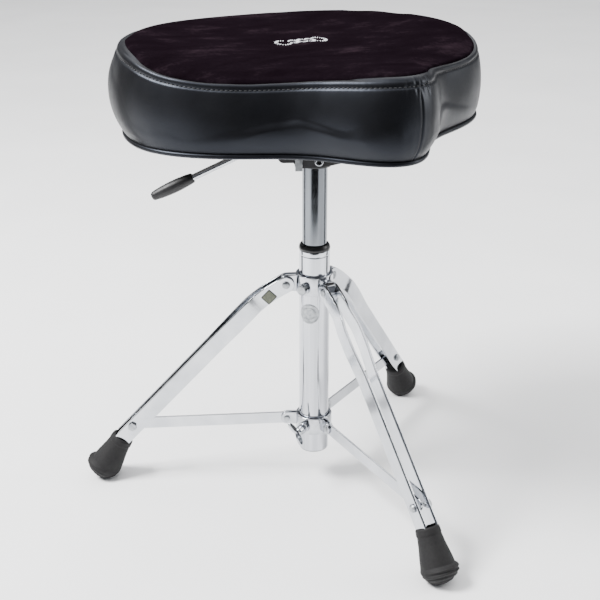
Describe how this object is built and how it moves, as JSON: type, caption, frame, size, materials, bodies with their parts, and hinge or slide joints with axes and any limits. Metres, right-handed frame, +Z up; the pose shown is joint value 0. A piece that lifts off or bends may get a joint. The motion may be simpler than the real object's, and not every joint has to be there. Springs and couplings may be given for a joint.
{
  "type": "drum throne",
  "caption": "Drum throne with a padded saddle seat on a gas spring, a release lever, and a folding tripod of double-braced chrome legs with rubber boots.",
  "frame": {"origin": "middle of the whole footprint on the floor; the column's axis stands 31 mm behind it, towards +Y", "axes": "+Z up the column; -Y towards the seat's nose and the front leg; +X towards the sitter's left"},
  "size_m": [0.475, 0.4815, 0.5346],
  "materials": {
    "chrome_tube": "bright chrome plating on drawn steel tube",
    "spring_steel_tube": "fine ground and plated gas spring cylinder, darker than the column",
    "chrome_collar": "chrome plating on cast metal",
    "chrome_strap": "chrome plating on pressed flat steel strap",
    "zinc_hardware": "zinc plated fasteners",
    "badge_metal": "thin stamped aluminium with dark rings",
    "black_steel": "black powder coat on steel",
    "lever_steel": "chrome plated steel rod",
    "black_plastic": "moulded black nylon",
    "grey_plastic": "moulded light grey polyethylene plug",
    "grip_plastic": "moulded black grip with a soft sheen",
    "boot_rubber": "moulded black rubber",
    "olive_label": "blank printed vinyl label with a dark border",
    "board_ply": "birch plywood",
    "vinyl_boxing": "black upholstery vinyl with a soft gloss",
    "suede_top": "very dark aubergine synthetic suede with a brushed nap"
  },
  "bodies": {
    "base": {"column_tube": "chrome_tube", "guide_bushing": "black_plastic", "column_end_cap": "grey_plastic", "thrust_bearing": "zinc_hardware", "column_badge": "badge_metal", "upper_collar": "chrome_collar", "upper_collar_screw": "zinc_hardware"},
    "rod": {"piston_rod": "chrome_tube", "rod_clip": "zinc_hardware"},
    "seat": {"gas_cylinder": "spring_steel_tube", "lever_housing": "black_steel", "housing_strap_near": "zinc_hardware", "housing_strap_far": "zinc_hardware", "housing_eyelet_near": "chrome_collar", "housing_eyelet_far": "chrome_collar", "lever_pivot_pin": "zinc_hardware", "seat_board": "board_ply", "seat_plate": "black_steel", "seat_bolt_1": "zinc_hardware", "seat_bolt_2": "zinc_hardware", "seat_bolt_3": "zinc_hardware", "seat_bolt_4": "zinc_hardware", "seat_cushion": "vinyl_boxing", "seat_top_panel": "suede_top", "seat_piping": "vinyl_boxing"},
    "lever": {"lever_rod": "lever_steel", "lever_grip": "grip_plastic"},
    "valve": {"release_pin": "zinc_hardware"},
    "leg_front": {"leg_front_strap_a": "chrome_strap", "leg_front_strap_b": "chrome_strap", "leg_front_pivot_rivet": "zinc_hardware", "leg_front_brace_bolt": "zinc_hardware", "leg_front_brace_nut": "zinc_hardware", "leg_front_boot": "boot_rubber"},
    "leg_right": {"leg_right_strap_a": "chrome_strap", "leg_right_strap_b": "chrome_strap", "leg_right_pivot_rivet": "zinc_hardware", "leg_right_brace_bolt": "zinc_hardware", "leg_right_brace_nut": "zinc_hardware", "leg_right_boot": "boot_rubber"},
    "leg_left": {"leg_left_strap_a": "chrome_strap", "leg_left_strap_b": "chrome_strap", "leg_left_pivot_rivet": "zinc_hardware", "leg_left_brace_bolt": "zinc_hardware", "leg_left_brace_nut": "zinc_hardware", "leg_left_boot": "boot_rubber", "leg_left_label": "olive_label"},
    "slider": {"lower_collar": "chrome_collar"},
    "clamp": {"wing_bolt": "chrome_collar"},
    "brace_front": {"brace_front": "chrome_strap", "brace_front_rivet": "zinc_hardware"},
    "brace_right": {"brace_right": "chrome_strap", "brace_right_rivet": "zinc_hardware"},
    "brace_left": {"brace_left": "chrome_strap", "brace_left_rivet": "zinc_hardware"}
  },
  "joints": [
    {"name": "seat_swivel", "type": "hinge", "parent": "base", "child": "rod", "pos_m": [0, 0.0308, 0.05], "axis": [0, 0, 1], "continuous": true},
    {"name": "seat_height", "type": "slide", "parent": "rod", "child": "seat", "axis": [0, 0, 1], "range_m": [-0.08, 0.072]},
    {"name": "lever_lift", "type": "hinge", "parent": "seat", "child": "lever", "pos_m": [-0.01559, 0.0398, 0.4245], "axis": [0.5, 0.866, 0], "range_deg": [0, 8], "stiffness_Nm_per_rad": 4, "springref_deg": -8.59},
    {"name": "valve_press", "type": "slide", "parent": "seat", "child": "valve", "axis": [0, 0, 1], "range_m": [-0.003, 0]},
    {"name": "leg_front_fold", "type": "hinge", "parent": "base", "child": "leg_front", "pos_m": [0, -0.0016, 0.2526], "axis": [1, 0, 0], "range_deg": [0, 40]},
    {"name": "leg_right_fold", "type": "hinge", "parent": "base", "child": "leg_right", "pos_m": [0.02806, 0.047, 0.2526], "axis": [-0.5, 0.866, 0], "range_deg": [0, 40]},
    {"name": "leg_left_fold", "type": "hinge", "parent": "base", "child": "leg_left", "pos_m": [-0.02806, 0.047, 0.2526], "axis": [-0.5, -0.866, 0], "range_deg": [0, 40]},
    {"name": "collar_slide", "type": "slide", "parent": "base", "child": "slider", "axis": [0, 0, 1], "range_m": [0, 0.1004]},
    {"name": "brace_front_fold", "type": "hinge", "parent": "slider", "child": "brace_front", "pos_m": [0, -0.0012, 0.079], "axis": [1, 0, 0], "range_deg": [0, 80.22]},
    {"name": "brace_right_fold", "type": "hinge", "parent": "slider", "child": "brace_right", "pos_m": [0.02771, 0.0468, 0.079], "axis": [-0.5, 0.866, 0], "range_deg": [0, 80.22]},
    {"name": "brace_left_fold", "type": "hinge", "parent": "slider", "child": "brace_left", "pos_m": [-0.02771, 0.0468, 0.079], "axis": [-0.5, -0.866, 0], "range_deg": [0, 80.22]},
    {"name": "wing_bolt_turn", "type": "hinge", "parent": "slider", "child": "clamp", "pos_m": [-0.02598, 0.0158, 0.076], "axis": [-0.866, -0.5, 0], "range_deg": [0, 360]}
  ],
  "couplings": [
    {"joint": "valve_press", "follows": "lever_lift", "m_per_rad": -0.0205},
    {"joint": "leg_right_fold", "follows": "leg_front_fold", "ratio": 1},
    {"joint": "leg_left_fold", "follows": "leg_front_fold", "ratio": 1},
    {"joint": "collar_slide", "follows": "leg_front_fold", "m_per_rad": 0.14305},
    {"joint": "brace_front_fold", "follows": "leg_front_fold", "ratio": 1.993},
    {"joint": "brace_right_fold", "follows": "leg_front_fold", "ratio": 1.993},
    {"joint": "brace_left_fold", "follows": "leg_front_fold", "ratio": 1.993}
  ]
}
